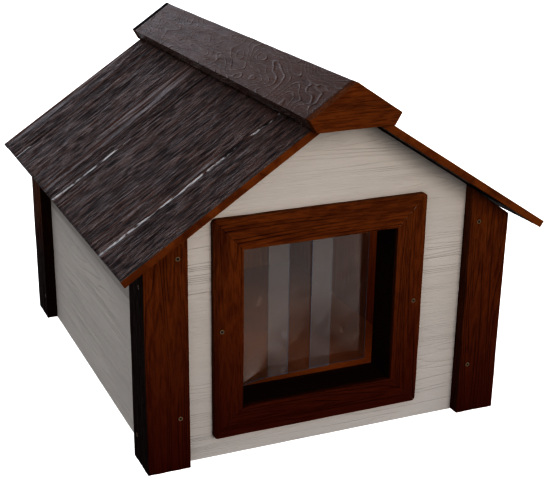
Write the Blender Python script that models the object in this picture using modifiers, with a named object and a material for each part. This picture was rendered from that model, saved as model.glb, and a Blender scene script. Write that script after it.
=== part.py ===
"""Small gable-roofed animal house: insulated walls, lift-off grooved roof with a boxed ridge cap,
and a framed doorway closed by three overlapping clear strips.

Metres, +Z up, front towards -Y, origin at the bottom centre of the whole object.
Distances called "depth" below are measured back from the front face of the front posts.
"""

import math

import bmesh
import bpy
from mathutils import Vector

# Overall
HALF_WIDTH = 0.3828  # centre line to the outer side of a corner post
LENGTH = 0.8970  # front face of the front posts to back face of the back posts
FRONT = -0.44925  # y of the front face of the front posts
GAP = 0.0003  # clearance left between pieces that touch

# Corner posts, whose sloping tops fall a little short of the roof
POST_WIDTH = 0.0870
POST_DEPTH = 0.0875
POST_TOP_INNER_GAP = 0.0020
POST_TOP_OUTER_GAP = 0.0065

# Wall build-up, from outside to inside
SIDING_INSET = 0.0235  # front and back siding behind the post faces
SIDE_INSET = 0.0245  # side siding behind the post faces
SIDING = 0.0120
CORE = 0.0482
LINER = 0.0090
WALL_TOP_GAP = 0.0005  # between the walls and the underside of the roof
SIDING_GROOVE_Z = 0.3473
SIDING_GROOVE_WIDTH = 0.0032
SIDING_GROOVE_DEPTH = 0.0022

# Roof
PITCH = math.radians(33.07)
RIDGE_Z = 0.7061  # where the two top faces of the roof panels meet
EAVE_X = 0.4368
ROOF_THICK = 0.0150
ROOF_FRONT = -0.0439  # depth of the front edge of the roof panels
ROOF_BACK = 0.9424
ROOF_GROOVES = (0.0970, 0.4560, 0.8150)  # depths
ROOF_GROOVE_WIDTH = 0.0060
ROOF_GROOVE_DEPTH = 0.0025
CAP_TOP_Z = 0.7385
CAP_HALF = 0.0915
CAP_EDGE_Z = 0.6770
CAP_FOOT_HALF = 0.0775
END_BOARD = 0.0195
END_FOOT_Z = 0.6538
INNER_GAP = 0.0020  # between the walls and what the roof carries inside them
BEAM_HEIGHT = 0.0500
CLEAT_WIDTH = 0.0400
CLEAT_THICK = 0.0190

# Doorway: opening of the frame, then the frame's outer outline
OPENING = (-0.1823, 0.1390, 0.1052, 0.4275)  # x0, x1, z0, z1
FRAME_OUTER = (-0.2436, 0.2006, 0.0443, 0.4924)
FRAME_FACE = 0.0110  # depth of the frame's front face
FRAME_CORNER = 0.0100
MITRE = 0.0002  # each mitred end is drawn back by this much
TUNNEL_REVEAL = 0.0010  # how far the tunnel boards sit outside the frame's opening
TUNNEL_BOARD = 0.0090

# Strip curtain
HINGE_Z = 0.4020
HINGE_DEPTH = 0.0860
STRIP_THICK = 0.0018
STRIP_LAYER = 0.0014  # front strips in front of the axis, the middle one behind it
STRIP_TOP = 0.4035
CLAMP_FOOT = 0.4065
CLAMP_FRONT = 0.0105  # from the axis to the clamp bar's front and back faces
CLAMP_BACK = 0.0070
# name, x0, x1, bottom z, layer
STRIPS = (
    ("strip_left", -0.1817, -0.0560, 0.1195, -1),
    ("strip_middle", -0.0997, 0.0378, 0.1187, 1),
    ("strip_right", -0.0070, 0.1176, 0.1225, -1),
)

# Floor
JOIST_HEIGHT = 0.0450
JOIST_WIDTH = 0.0380
JOIST_EDGE = 0.0080  # from the deck's edge to the outer joists
DECK = 0.0120

# Screws: recessed flat heads
HEAD_R = 0.0045
HEAD_H = 0.0032
SHANK_R = 0.0021
RECESS = 0.0005
HOLE_GAP = 0.0004
COUNTERSINK_GAP = 0.0007
POST_SCREW = 0.0360
FRAME_SCREW = 0.0215
SCREW_SIDES = 24
POST_SCREW_X = 0.3150
POST_SCREW_LOW = 0.1100
POST_SCREW_HIGH = {"left": 0.4320, "right": 0.4220}
# On the outer sides of the posts: depth from the nearer end of the house, and height
SIDE_SCREWS = {
    "front": {"low": (0.0680, 0.0550), "high": (0.0280, 0.3780)},
    "back": {"low": (0.0730, 0.0550), "high": (0.0280, 0.3780)},
}
FRAME_SCREW_X = {"left": -0.2260, "right": 0.1830}
FRAME_SCREW_Z = 0.2696

TAN = math.tan(PITCH)
UNDER_RIDGE_Z = RIDGE_Z - ROOF_THICK / math.cos(PITCH)

TRIM = ("trim_brown", (0.085, 0.028, 0.017), 0.55)
ROOF = ("roof_brown", (0.050, 0.028, 0.022), 0.42)
BEIGE = ("siding_beige", (0.66, 0.60, 0.52), 0.60)
RAW = ("liner_wood", (0.42, 0.27, 0.15), 0.70)
DARK = ("doorway_dark", (0.035, 0.014, 0.010), 0.50)
FOAM = ("insulation", (0.80, 0.82, 0.84), 0.85)
CLEAR = ("clear_strip", (0.72, 0.78, 0.84), 0.12)
STEEL = ("screw_dark", (0.10, 0.085, 0.075), 0.45)


def material(spec):
    name, colour, roughness = spec
    made = bpy.data.materials.get(name)
    if made is None:
        made = bpy.data.materials.new(name)
        made.use_nodes = True
        shader = made.node_tree.nodes["Principled BSDF"]
        shader.inputs["Base Color"].default_value = (*colour, 1.0)
        shader.inputs["Roughness"].default_value = roughness
        shader.inputs["Metallic"].default_value = 1.0 if name == "screw_dark" else 0.0
        if name == "clear_strip":
            shader.inputs["Transmission Weight"].default_value = 0.8
    return made


def add(name, mesh, spec, location=(0, 0, 0), rotation=(0, 0, 0), smooth=False):
    """Links a mesh as a named part at a place."""
    obj = bpy.data.objects.new(name, mesh)
    obj.location = location
    obj.rotation_euler = rotation
    if spec:
        mesh.materials.append(material(spec))
        house.objects.link(obj)
    else:
        cutters.objects.link(obj)
        obj.display_type = "WIRE"
        obj.hide_render = True
    for face in mesh.polygons:
        face.use_smooth = smooth
    return obj


def attach(obj, pivot):
    """Parents a part to an empty on its joint's axis, where it is."""
    obj.parent = pivot
    obj.location -= pivot.location
    return obj


def bevel(obj, width=0.0012):
    mod = obj.modifiers.new("edge", "BEVEL")
    mod.width = width
    mod.segments = 2
    mod.limit_method = "ANGLE"
    mod.angle_limit = math.radians(25)
    return obj


def outline_mesh(name, loops, thickness):
    """A flat outline, with any holes as further loops, extruded to both sides of its plane."""
    curve = bpy.data.curves.new(name, "CURVE")
    curve.dimensions = "2D"
    curve.fill_mode = "BOTH"
    curve.extrude = thickness / 2
    for loop in loops:
        spline = curve.splines.new("POLY")
        spline.points.add(len(loop) - 1)
        for point, (u, v) in zip(spline.points, loop):
            point.co = (u, v, 0, 1)
        spline.use_cyclic_u = True
    temporary = bpy.data.objects.new(name + "_outline", curve)
    house.objects.link(temporary)
    mesh = bpy.data.meshes.new_from_object(temporary)
    bpy.data.objects.remove(temporary)
    bpy.data.curves.remove(curve)
    mesh.name = name
    build = bmesh.new()
    build.from_mesh(mesh)
    bmesh.ops.remove_doubles(build, verts=build.verts, dist=0.00001)
    bmesh.ops.dissolve_limit(build, angle_limit=0.001, verts=build.verts, edges=build.edges)
    bmesh.ops.recalc_face_normals(build, faces=build.faces)
    build.to_mesh(mesh)
    build.free()
    return mesh


def profile(name, loops, depth0, depth1, spec):
    """An outline in x and z, extruded between two depths."""
    mesh = outline_mesh(name, loops, depth1 - depth0)
    at = (0, FRONT + (depth0 + depth1) / 2, 0)
    return add(name, mesh, spec, at, (math.pi / 2, 0, 0))


def box(name, x0, x1, depth0, depth1, z0, z1, spec):
    bpy.ops.mesh.primitive_cube_add(size=1)
    obj = bpy.context.object
    for vert in obj.data.vertices:
        vert.co = (vert.co.x * (x1 - x0), vert.co.y * (depth1 - depth0), vert.co.z * (z1 - z0))
    mesh = obj.data
    bpy.data.objects.remove(obj)
    mesh.name = name
    middle = ((x0 + x1) / 2, FRONT + (depth0 + depth1) / 2, (z0 + z1) / 2)
    return add(name, mesh, spec, middle)


def turned(name, outline, spec, location, rotation):
    """A solid of revolution about local Z; the (radius, z) outline starts and ends on the axis,
    and goes down its outer side from the greatest z to the least."""
    mesh = bpy.data.meshes.new(name)
    edges = [(k, k + 1) for k in range(len(outline) - 1)]
    mesh.from_pydata([(radius, 0, z) for radius, z in outline], edges, [])
    obj = add(name, mesh, spec, location, rotation)
    mod = obj.modifiers.new("turn", "SCREW")
    mod.steps = SCREW_SIDES
    mod.render_steps = SCREW_SIDES
    mod.use_merge_vertices = True
    mod.merge_threshold = 0.00001
    mod.use_smooth_shade = True
    return obj


def cut(obj, cutter):
    mod = obj.modifiers.new(cutter.name, "BOOLEAN")
    mod.operation = "DIFFERENCE"
    mod.solver = "EXACT"
    mod.object = cutter


def under_roof(x, clearance=WALL_TOP_GAP):
    return UNDER_RIDGE_Z - TAN * abs(x) - clearance


def rectangle(x0, x1, z0, z1):
    return [(x0, z0), (x1, z0), (x1, z1), (x0, z1)]


def gable(half, bottom):
    """Wall outline that follows the underside of the roof."""
    shoulder = under_roof(half)
    return [(-half, bottom), (half, bottom), (half, shoulder), (0, under_roof(0)), (-half, shoulder)]


def side_strip(side, inner, outer, bottom):
    """Section of a side wall layer between two distances from the centre line."""
    return [
        (side * inner, bottom),
        (side * outer, bottom),
        (side * outer, under_roof(outer)),
        (side * inner, under_roof(inner)),
    ]


# Start from nothing
for obj in list(bpy.data.objects):
    bpy.data.objects.remove(obj)
house = bpy.data.collections.new("gable_animal_house")
cutters = bpy.data.collections.new("cutters")
bpy.context.scene.collection.children.link(house)
bpy.context.scene.collection.children.link(cutters)

# The two moving assemblies hang from empties on their joints' axes
roof_lift = bpy.data.objects.new("roof_lift", None)
roof_lift.location = (0, 0, UNDER_RIDGE_Z)
curtain_axis = bpy.data.objects.new("curtain_axis", None)
curtain_axis.location = (0, FRONT + HINGE_DEPTH, HINGE_Z)
for pivot in (roof_lift, curtain_axis):
    house.objects.link(pivot)

post_inner = HALF_WIDTH - POST_WIDTH
deck_top = JOIST_HEIGHT + GAP + DECK
wall_foot = deck_top + GAP

# Corner posts, tops cut a little steeper than the roof
for end, depth in (("front", 0.0), ("back", LENGTH - POST_DEPTH)):
    for name, side in (("left", -1), ("right", 1)):
        outline = [
            (side * HALF_WIDTH, 0),
            (side * post_inner, 0),
            (side * post_inner, under_roof(post_inner, POST_TOP_INNER_GAP)),
            (side * HALF_WIDTH, under_roof(HALF_WIDTH, POST_TOP_OUTER_GAP)),
        ]
        bevel(profile(f"post_{end}_{name}", [outline], depth, depth + POST_DEPTH, TRIM))

# Doorway hole through the front wall layers
hole_margin = TUNNEL_REVEAL + TUNNEL_BOARD + GAP
hole = rectangle(
    OPENING[0] - hole_margin, OPENING[1] + hole_margin, OPENING[2] - hole_margin, OPENING[3] + hole_margin
)

# Front and back walls: siding, insulation, liner
between_posts = post_inner - GAP
siding_outer = HALF_WIDTH - SIDE_INSET
core_outer = siding_outer - SIDING - GAP
liner_outer = core_outer - CORE - GAP
side_liner_inner = liner_outer - LINER
siding_depth = SIDING_INSET
core_depth = siding_depth + SIDING + GAP
liner_depth = core_depth + CORE + GAP
for end in ("front", "back"):
    holes = [hole] if end == "front" else []
    layers = (
        ("siding", between_posts, 0.0, siding_depth, SIDING, BEIGE),
        ("insulation", between_posts, wall_foot, core_depth, CORE, FOAM),
        ("liner", side_liner_inner - GAP, wall_foot, liner_depth, LINER, RAW),
    )
    for layer, half, foot, depth, thick, spec in layers:
        depth0 = depth if end == "front" else LENGTH - depth - thick
        profile(f"{layer}_{end}", [gable(half, foot), *holes], depth0, depth0 + thick, spec)

# Side walls, between the front and back posts
wall0 = POST_DEPTH + GAP
wall1 = LENGTH - wall0
for name, side in (("left", -1), ("right", 1)):
    layers = (
        ("siding", siding_outer - SIDING, siding_outer, 0.0, BEIGE),
        ("insulation", liner_outer + GAP, core_outer, wall_foot, FOAM),
        ("liner", side_liner_inner, liner_outer, wall_foot, RAW),
    )
    for layer, inner, outer, foot, spec in layers:
        profile(f"{layer}_{name}", [side_strip(side, inner, outer, foot)], wall0, wall1, spec)

# Floor: a deck notched round the posts, on three joists
deck_wide = core_outer
deck0 = SIDING_INSET + SIDING + GAP
quarter = [(between_posts, deck0), (between_posts, wall0), (deck_wide, wall0)]
right_half = quarter + [(x, LENGTH - d) for x, d in reversed(quarter)]
deck_outline = right_half + [(-x, d) for x, d in reversed(right_half)]
deck_mesh = outline_mesh("floor_deck", [deck_outline], DECK)
add("floor_deck", deck_mesh, RAW, (0, FRONT, JOIST_HEIGHT + GAP + DECK / 2))
joist_x = deck_wide - JOIST_EDGE - JOIST_WIDTH / 2
for name, x, d0 in (("left", -joist_x, wall0), ("center", 0.0, deck0), ("right", joist_x, wall0)):
    half = JOIST_WIDTH / 2
    box(f"floor_joist_{name}", x - half, x + half, d0, LENGTH - d0, 0, JOIST_HEIGHT, RAW)

# Narrow horizontal groove in the front and back siding
for end, depth in (("front", SIDING_INSET), ("back", LENGTH - SIDING_INSET)):
    z0 = SIDING_GROOVE_Z - SIDING_GROOVE_WIDTH / 2
    z1 = SIDING_GROOVE_Z + SIDING_GROOVE_WIDTH / 2
    d0, d1 = depth - SIDING_GROOVE_DEPTH, depth + SIDING_GROOVE_DEPTH
    cut(bpy.data.objects[f"siding_{end}"], box(f"cut_groove_{end}", -0.4, 0.4, d0, d1, z0, z1, None))


# Door frame: four mitred boards whose outer corners are rounded
def corner_arc(inner, outer, sign_x, sign_z, steps=5):
    """Arc points from the mitre to the horizontal side and to the vertical side of one corner."""
    centre = (outer[0] - sign_x * FRAME_CORNER, outer[1] - sign_z * FRAME_CORNER)
    run = (outer[0] - inner[0], outer[1] - inner[1])
    off = (inner[0] - centre[0], inner[1] - centre[1])
    a = run[0] ** 2 + run[1] ** 2
    b = 2 * (run[0] * off[0] + run[1] * off[1])
    c = off[0] ** 2 + off[1] ** 2 - FRAME_CORNER**2
    t = (-b + math.sqrt(b * b - 4 * a * c)) / (2 * a)
    mitre = (inner[0] + t * run[0], inner[1] + t * run[1])
    angle = math.atan2(sign_z * (mitre[1] - centre[1]), sign_x * (mitre[0] - centre[0]))

    def point(a):
        x = centre[0] + sign_x * FRAME_CORNER * math.cos(a)
        return (x, centre[1] + sign_z * FRAME_CORNER * math.sin(a))

    to_flat = [point(angle + (math.pi / 2 - angle) * k / steps) for k in range(steps + 1)]
    to_upright = [point(angle * (1 - k / steps)) for k in range(steps + 1)]
    return to_flat, to_upright


ix0, ix1, iz0, iz1 = OPENING
ox0, ox1, oz0, oz1 = FRAME_OUTER
corners = {}
for sx, inner_x, outer_x in ((-1, ix0, ox0), (1, ix1, ox1)):
    for sz, inner_z, outer_z in ((-1, iz0, oz0), (1, iz1, oz1)):
        inner = (inner_x, inner_z)
        corners[sx, sz] = (inner, *corner_arc(inner, (outer_x, outer_z), sx, sz))
frame_back = SIDING_INSET - GAP
for name, sz in (("top", 1), ("bottom", -1)):
    inner_l, flat_l, _ = corners[-1, sz]
    inner_r, flat_r, _ = corners[1, sz]
    loop = [(inner_l[0] + MITRE, inner_l[1])]
    loop += [(x + MITRE, z) for x, z in flat_l]
    loop += [(x - MITRE, z) for x, z in reversed(flat_r)]
    loop += [(inner_r[0] - MITRE, inner_r[1])]
    bevel(profile(f"door_frame_{name}", [loop], FRAME_FACE, frame_back, TRIM), 0.0008)
for name, sx in (("left", -1), ("right", 1)):
    inner_b, _, up_b = corners[sx, -1]
    inner_t, _, up_t = corners[sx, 1]
    loop = [(inner_b[0], inner_b[1] + MITRE)]
    loop += [(x, z + MITRE) for x, z in up_b]
    loop += [(x, z - MITRE) for x, z in reversed(up_t)]
    loop += [(inner_t[0], inner_t[1] - MITRE)]
    bevel(profile(f"door_frame_{name}", [loop], FRAME_FACE, frame_back, TRIM), 0.0008)

# Doorway tunnel: sill and head run the full width, the jambs stand between them
tx0, tx1 = OPENING[0] - TUNNEL_REVEAL, OPENING[1] + TUNNEL_REVEAL
tz0, tz1 = OPENING[2] - TUNNEL_REVEAL, OPENING[3] + TUNNEL_REVEAL
tunnel0 = SIDING_INSET
tunnel1 = liner_depth + LINER
wide = (tx0 - TUNNEL_BOARD, tx1 + TUNNEL_BOARD)
box("doorway_sill", *wide, tunnel0, tunnel1, tz0 - TUNNEL_BOARD, tz0, DARK)
box("doorway_head", *wide, tunnel0, tunnel1, tz1, tz1 + TUNNEL_BOARD, DARK)
box("doorway_jamb_left", tx0 - TUNNEL_BOARD, tx0, tunnel0, tunnel1, tz0 + GAP, tz1 - GAP, DARK)
box("doorway_jamb_right", tx1, tx1 + TUNNEL_BOARD, tunnel0, tunnel1, tz0 + GAP, tz1 - GAP, DARK)

# Strip curtain under a clamp bar at the inner end of the tunnel
bar = (tx0 + GAP, tx1 - GAP)
bar_depth = (HINGE_DEPTH - CLAMP_FRONT, HINGE_DEPTH + CLAMP_BACK)
box("strip_clamp_bar", *bar, *bar_depth, CLAMP_FOOT, tz1 - GAP, DARK)
for name, x0, x1, bottom, layer in STRIPS:
    middle = HINGE_DEPTH + layer * STRIP_LAYER
    d0, d1 = middle - STRIP_THICK / 2, middle + STRIP_THICK / 2
    attach(box(name, x0, x1, d0, d1, bottom, STRIP_TOP, CLEAR), curtain_axis)

def roof_groove(name, side, depth):
    """A bar lying along the slope of one roof panel, half sunk in its top face."""
    reach = EAVE_X / math.cos(PITCH)
    d0, d1 = depth - ROOF_GROOVE_WIDTH / 2, depth + ROOF_GROOVE_WIDTH / 2
    tool = box(name, 0, 1.1 * reach, d0, d1, -ROOF_GROOVE_DEPTH, ROOF_GROOVE_DEPTH, None)
    along = tool.location.x
    tool.rotation_euler = (0, PITCH if side > 0 else math.pi - PITCH, 0)
    tool.location.x = side * along * math.cos(PITCH)
    tool.location.z = RIDGE_Z - along * math.sin(PITCH)
    return tool


# Roof panels, square-cut at the eaves and meeting on the centre line
eave_z = RIDGE_Z - TAN * EAVE_X
foot_x = EAVE_X - ROOF_THICK * math.sin(PITCH)
foot_z = eave_z - ROOF_THICK * math.cos(PITCH)
half_gap = GAP / 2
for name, side in (("left", -1), ("right", 1)):
    outline = [
        (side * half_gap, RIDGE_Z - TAN * half_gap),
        (side * EAVE_X, eave_z),
        (side * foot_x, foot_z),
        (side * half_gap, UNDER_RIDGE_Z - TAN * half_gap),
    ]
    panel = bevel(profile(f"roof_panel_{name}", [outline], ROOF_FRONT, ROOF_BACK, ROOF))
    attach(panel, roof_lift)
    for number, depth in enumerate(ROOF_GROOVES):
        cut(panel, roof_groove(f"cut_roof_{name}_{number}", side, depth))

# Ridge cap: two thick boards on the roof, closed by a five-sided board at each end
cap_foot_z = RIDGE_Z - TAN * CAP_FOOT_HALF + GAP
for name, side in (("left", -1), ("right", 1)):
    outline = [
        (side * half_gap, CAP_TOP_Z),
        (side * CAP_HALF, CAP_EDGE_Z),
        (side * CAP_FOOT_HALF, cap_foot_z),
        (side * half_gap, RIDGE_Z + GAP),
    ]
    board = bevel(profile(f"ridge_cap_{name}", [outline], ROOF_FRONT, ROOF_BACK, ROOF))
    attach(board, roof_lift)
end_outline = [
    (-CAP_FOOT_HALF, END_FOOT_Z),
    (CAP_FOOT_HALF, END_FOOT_Z),
    (CAP_HALF, CAP_EDGE_Z),
    (0, CAP_TOP_Z),
    (-CAP_HALF, CAP_EDGE_Z),
]
for end, depth0 in (("front", ROOF_FRONT - GAP - END_BOARD), ("back", ROOF_BACK + GAP)):
    board = bevel(profile(f"ridge_end_{end}", [end_outline], depth0, depth0 + END_BOARD, TRIM))
    attach(board, roof_lift)

# Under the roof: a ridge beam and two cleats that keep the roof from sliding off the walls
inside0 = tunnel1 + INNER_GAP
inside1 = LENGTH - inside0
beam_top = under_roof(0, GAP)
beam_half = BEAM_HEIGHT / TAN
beam = [(-beam_half, beam_top - BEAM_HEIGHT), (beam_half, beam_top - BEAM_HEIGHT), (0, beam_top)]
attach(profile("ridge_beam", [beam], inside0, inside1, RAW), roof_lift)
for name, side in (("left", -1), ("right", 1)):
    outer = side_liner_inner - INNER_GAP
    inner = outer - CLEAT_WIDTH
    drop = GAP + CLEAT_THICK / math.cos(PITCH)
    outline = [
        (side * outer, under_roof(outer, GAP)),
        (side * inner, under_roof(inner, GAP)),
        (side * inner, under_roof(inner, drop)),
        (side * outer, under_roof(outer, drop)),
    ]
    attach(profile(f"roof_cleat_{name}", [outline], inside0, inside1, RAW), roof_lift)

# Screws with their countersunk holes
FACING = {
    "front": (-math.pi / 2, 0, 0),
    "back": (math.pi / 2, 0, 0),
    "left": (0, math.pi / 2, 0),
    "right": (0, -math.pi / 2, 0),
}


def screw(name, face, x, depth, z, length, holders):
    """A flat-head screw driven square into a face, and its clearance hole in each holder."""
    at = Vector((x, FRONT + depth, z))
    turn = FACING[face]
    tip = RECESS + length
    neck = RECESS + HEAD_H
    outline = [(0, tip), (SHANK_R, tip), (SHANK_R, neck), (HEAD_R, RECESS), (0, RECESS)]
    turned(f"screw_{name}", outline, STEEL, at, turn)
    wide, narrow = HEAD_R + COUNTERSINK_GAP, SHANK_R + HOLE_GAP
    bottom = tip + GAP
    outline = [(0, bottom), (narrow, bottom), (narrow, neck), (wide, 0), (wide, -neck), (0, -neck)]
    tool = turned(f"cut_screw_{name}", outline, None, at, turn)
    for holder in holders:
        cut(bpy.data.objects[holder], tool)


for end, depth in (("front", 0.0), ("back", LENGTH)):
    for name, side in (("left", -1), ("right", 1)):
        post = f"post_{end}_{name}"
        for level, z in (("low", POST_SCREW_LOW), ("high", POST_SCREW_HIGH[name])):
            x = side * POST_SCREW_X
            screw(f"{end}_{name}_{level}", end, x, depth, z, POST_SCREW, [post])
        for level, (in_from_end, z) in SIDE_SCREWS[end].items():
            along = abs(depth - in_from_end)
            x = side * HALF_WIDTH
            screw(f"side_{end}_{name}_{level}", name, x, along, z, POST_SCREW, [post])
for name, x in FRAME_SCREW_X.items():
    holders = [f"door_frame_{name}", "siding_front"]
    screw(f"door_{name}", "front", x, FRAME_FACE, FRAME_SCREW_Z, FRAME_SCREW, holders)
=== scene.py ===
"""Looks for the small gable-roofed animal house: painted, embossed boards, a grooved roof and clear strips."""

import math

import bpy
import numpy as np
from mathutils import Matrix, Vector


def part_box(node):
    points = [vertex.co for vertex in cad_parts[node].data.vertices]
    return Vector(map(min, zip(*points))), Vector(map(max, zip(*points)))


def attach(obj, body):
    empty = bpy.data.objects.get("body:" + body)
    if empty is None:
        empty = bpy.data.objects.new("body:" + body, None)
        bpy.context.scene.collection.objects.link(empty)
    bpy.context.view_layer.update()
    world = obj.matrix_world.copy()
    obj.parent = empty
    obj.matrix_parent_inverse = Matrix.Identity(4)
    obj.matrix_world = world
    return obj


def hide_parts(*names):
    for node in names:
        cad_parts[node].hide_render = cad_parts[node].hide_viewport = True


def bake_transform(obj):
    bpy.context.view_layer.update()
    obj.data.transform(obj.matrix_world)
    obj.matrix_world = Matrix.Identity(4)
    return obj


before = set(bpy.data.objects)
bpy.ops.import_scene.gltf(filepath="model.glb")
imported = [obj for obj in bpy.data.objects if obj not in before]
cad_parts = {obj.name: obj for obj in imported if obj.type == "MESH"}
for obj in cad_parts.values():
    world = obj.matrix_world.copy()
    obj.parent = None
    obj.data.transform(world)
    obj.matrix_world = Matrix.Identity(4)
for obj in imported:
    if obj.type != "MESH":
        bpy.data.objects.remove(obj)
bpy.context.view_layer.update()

# ---------------------------------------------------------------- camera, floor and light

CAMERA_AT = (-0.9462, -2.27225, 1.1623)
CAMERA_AZIMUTH, CAMERA_ELEVATION, CAMERA_ROLL = -21.26, 21.29, -0.26  # degrees
CAMERA_LENS, CAMERA_SENSOR = 76.16, 36  # mm
CAMERA_SHIFT = (0.0993, 0.0562)
FLOOR_HALF = 200  # metres, so that no edge shows in any view
FLOOR_DROP = 0.0005  # below the posts' feet, so that no faces coincide


def make_camera():
    az, el, roll = (math.radians(a) for a in (CAMERA_AZIMUTH, CAMERA_ELEVATION, CAMERA_ROLL))
    back = Vector((math.sin(az) * math.cos(el), -math.cos(az) * math.cos(el), math.sin(el)))
    right = (-back).cross(Vector((0, 0, 1))).normalized()
    up = right.cross(-back)
    x = math.cos(roll) * right + math.sin(roll) * up
    y = -math.sin(roll) * right + math.cos(roll) * up
    data = bpy.data.cameras.new("camera")
    data.lens, data.sensor_width = CAMERA_LENS, CAMERA_SENSOR
    data.shift_x, data.shift_y = CAMERA_SHIFT
    camera = bpy.data.objects.new("camera", data)
    camera.matrix_world = Matrix.Translation(CAMERA_AT) @ Matrix((x, y, back)).transposed().to_4x4()
    bpy.context.scene.collection.objects.link(camera)
    bpy.context.scene.camera = camera


def aim(obj, towards):
    obj.rotation_mode = "QUATERNION"
    obj.rotation_quaternion = Vector(towards).to_track_quat("-Z", "Y")


def make_sun(name, towards, strength, angle, colour):
    data = bpy.data.lights.new(name, "SUN")
    data.energy, data.angle, data.color = strength, math.radians(angle), colour
    sun = bpy.data.objects.new(name, data)
    aim(sun, towards)
    sun.visible_glossy = False  # the paint mirrors the sky only, with no hot spots from a low sun
    bpy.context.scene.collection.objects.link(sun)


def make_lamp(name, at, power, size, colour):
    """A soft square lamp that shines down."""
    data = bpy.data.lights.new(name, "AREA")
    data.energy, data.size, data.color = power, size, colour
    lamp = bpy.data.objects.new(name, data)
    lamp.location = at
    bpy.context.scene.collection.objects.link(lamp)


def make_world():
    """A soft sky that is bright low down behind the house and dark high up, which the wet-looking roof mirrors.
    Below the horizon is a dark ground with a pale slope in front of the house."""
    world = bpy.data.worlds.new("studio")
    bpy.context.scene.world = world
    world.use_nodes = True
    g = Graph(world.node_tree)
    x, y, height = g.separate(g.node("TexCoord").outputs["Generated"])
    colour = g.ramp(g.span(height, -1, 1), [
        (0.00, (0.05, 0.05, 0.05)),
        (0.30, (0.10, 0.10, 0.105)),
        (0.50, (0.34, 0.36, 0.39)),
        (0.64, (0.46, 0.50, 0.56)),
        (0.86, (0.40, 0.45, 0.52)),
        (1.00, (0.24, 0.26, 0.30)),
    ])
    behind = g.span(y, 0.15, 0.60)
    haze = g.math("SUBTRACT", g.span(height, 0.10, 0.62, 1.75, 0.30), 1.0)
    light = g.math("ADD", g.math("MULTIPLY", behind, haze), 1.0)
    colour = g.vector("MULTIPLY", colour, g.combine(light, light, light))
    slope = g.math("SUBTRACT", height, g.math("MULTIPLY", x, 0.51))
    pale = g.span(slope, -0.625, -0.600, smooth=True)
    pale = g.math("MULTIPLY", pale, g.span(height, -0.12, -0.26, smooth=True))
    pale = g.math("MULTIPLY", pale, g.span(y, -0.45, -0.65, smooth=True))
    colour = g.mix(pale, colour, (0.46, 0.46, 0.47))
    background = g.node("Background", prefix="ShaderNode")
    g.link(colour, background.inputs["Color"])
    g.link(background.outputs[0], g.node("OutputWorld").inputs["Surface"])


def make_floor():
    """A floor that glows a little, so that it stays pale, and that the house neither mirrors nor is lit by."""
    mesh = bpy.data.meshes.new("floor")
    s = FLOOR_HALF
    mesh.from_pydata([(-s, -s, 0), (s, -s, 0), (s, s, 0), (-s, s, 0)], [], [(0, 1, 2, 3)])
    floor = bpy.data.objects.new("floor", mesh)
    bpy.context.scene.collection.objects.link(floor)
    floor.location.z = -FLOOR_DROP
    material = bpy.data.materials.new("pale_floor")
    material.use_nodes = True
    shader = material.node_tree.nodes["Principled BSDF"]
    shader.inputs["Base Color"].default_value = (0.70, 0.70, 0.70, 1)
    shader.inputs["Roughness"].default_value = 0.9
    shader.inputs["Specular IOR Level"].default_value = 0.0
    shader.inputs["Emission Color"].default_value = (1, 1, 1, 1)
    shader.inputs["Emission Strength"].default_value = 0.52
    mesh.materials.append(material)
    floor.visible_diffuse = False
    floor.visible_glossy = False


# ---------------------------------------------------------------- node graphs


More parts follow.
